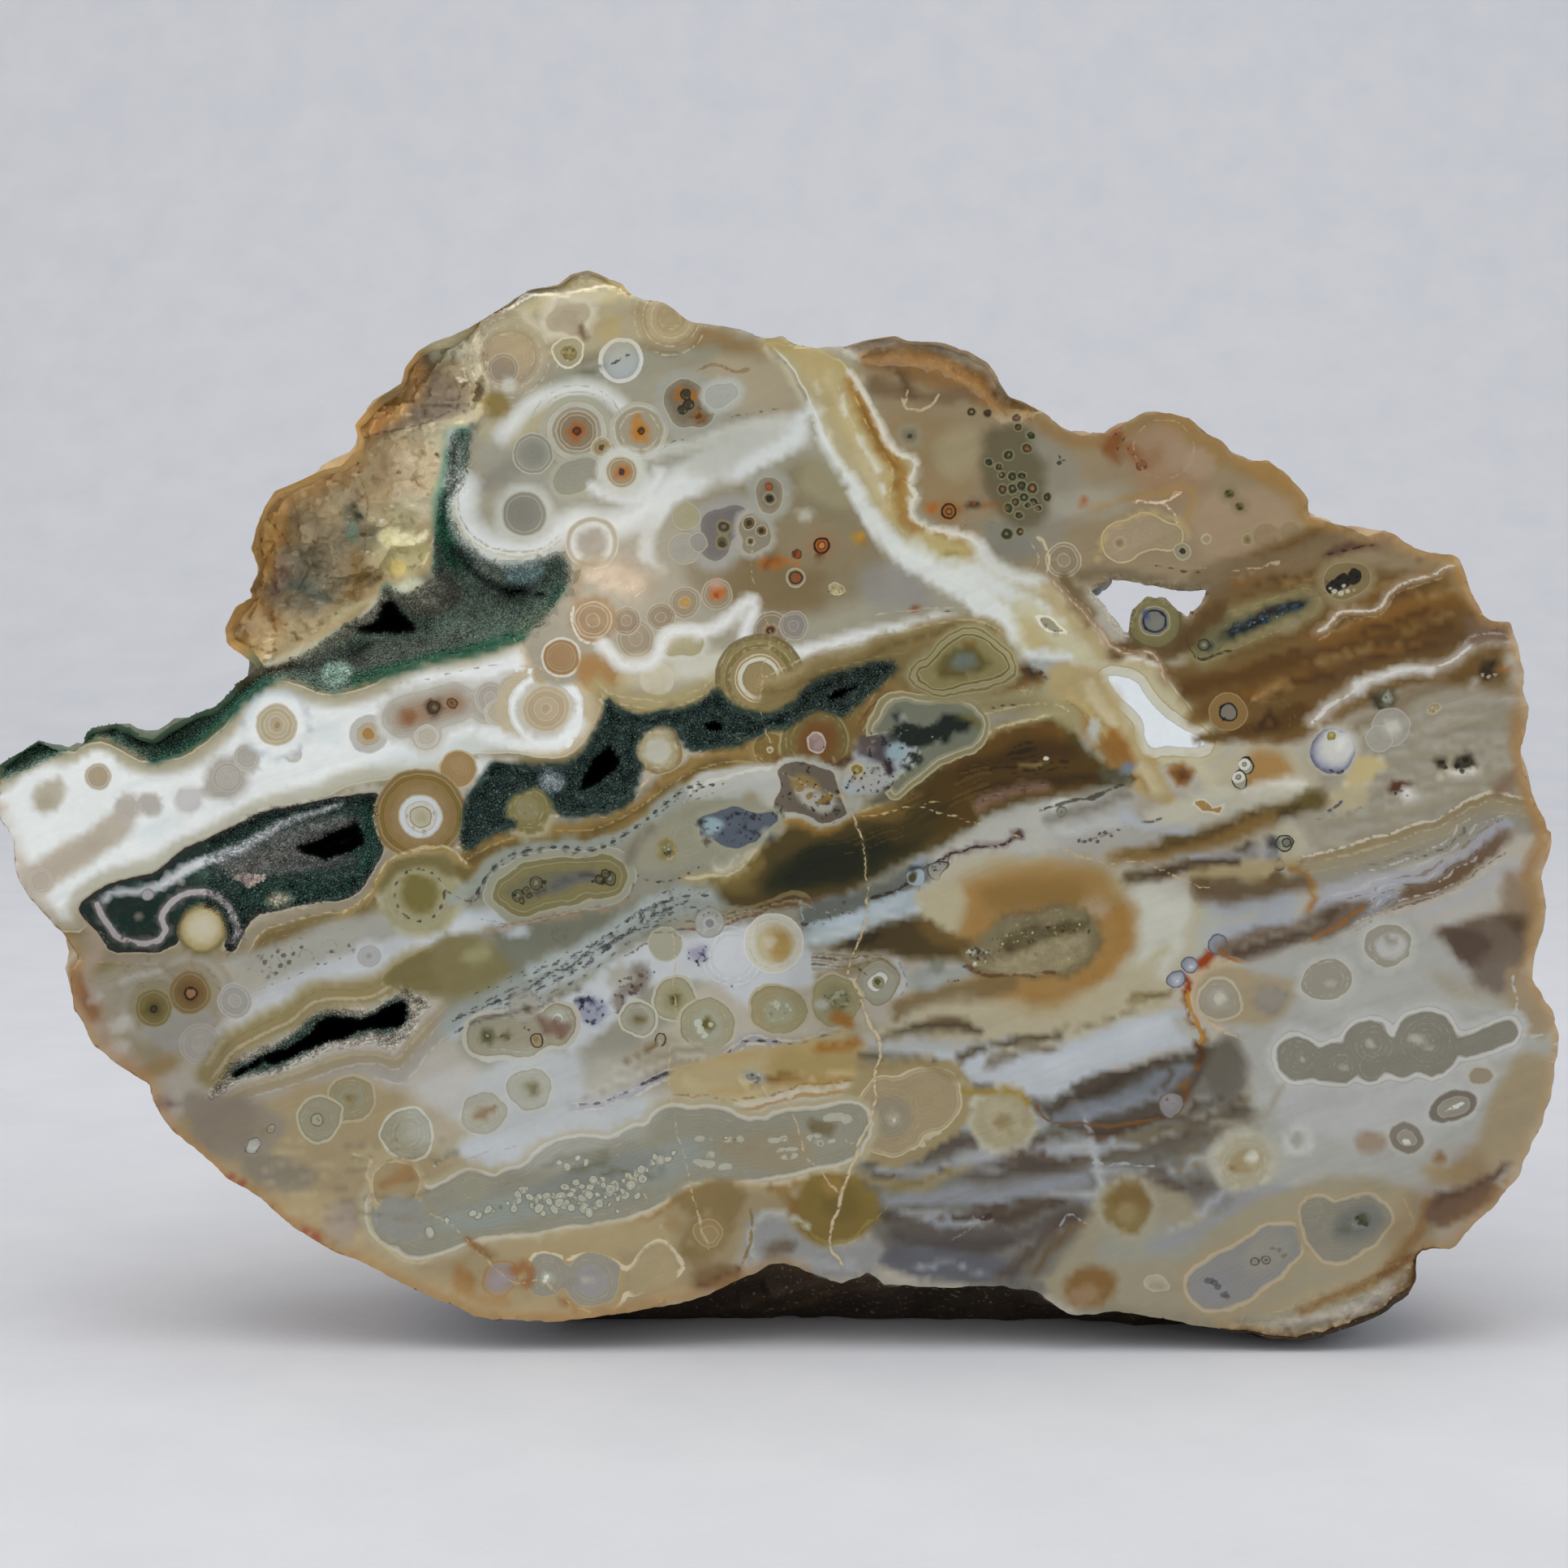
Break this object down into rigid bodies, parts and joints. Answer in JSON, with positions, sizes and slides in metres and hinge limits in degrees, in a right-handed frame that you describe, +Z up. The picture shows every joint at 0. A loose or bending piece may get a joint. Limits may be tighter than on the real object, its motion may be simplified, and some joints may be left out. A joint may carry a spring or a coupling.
{
  "type": "ocean jasper chunk",
  "caption": "Thick chunk of ocean jasper standing upright, with a cut and polished face, a broken outline, druse-lined pockets and a small flat spot to rest on.",
  "frame": {"origin": "middle of the bounding box in plan, at the level of the flat spot that the chunk rests on", "axes": "+Z up, +X to the right along the polished face, and the polished face looks towards -Y, leaning back by 5 degrees"},
  "size_m": [0.2226, 0.0648, 0.1523],
  "materials": {
    "jasper": "polished on the cut face, rough and weathered elsewhere"
  },
  "bodies": {
    "root": {"ocean_jasper": "jasper"}
  },
  "joints": []
}
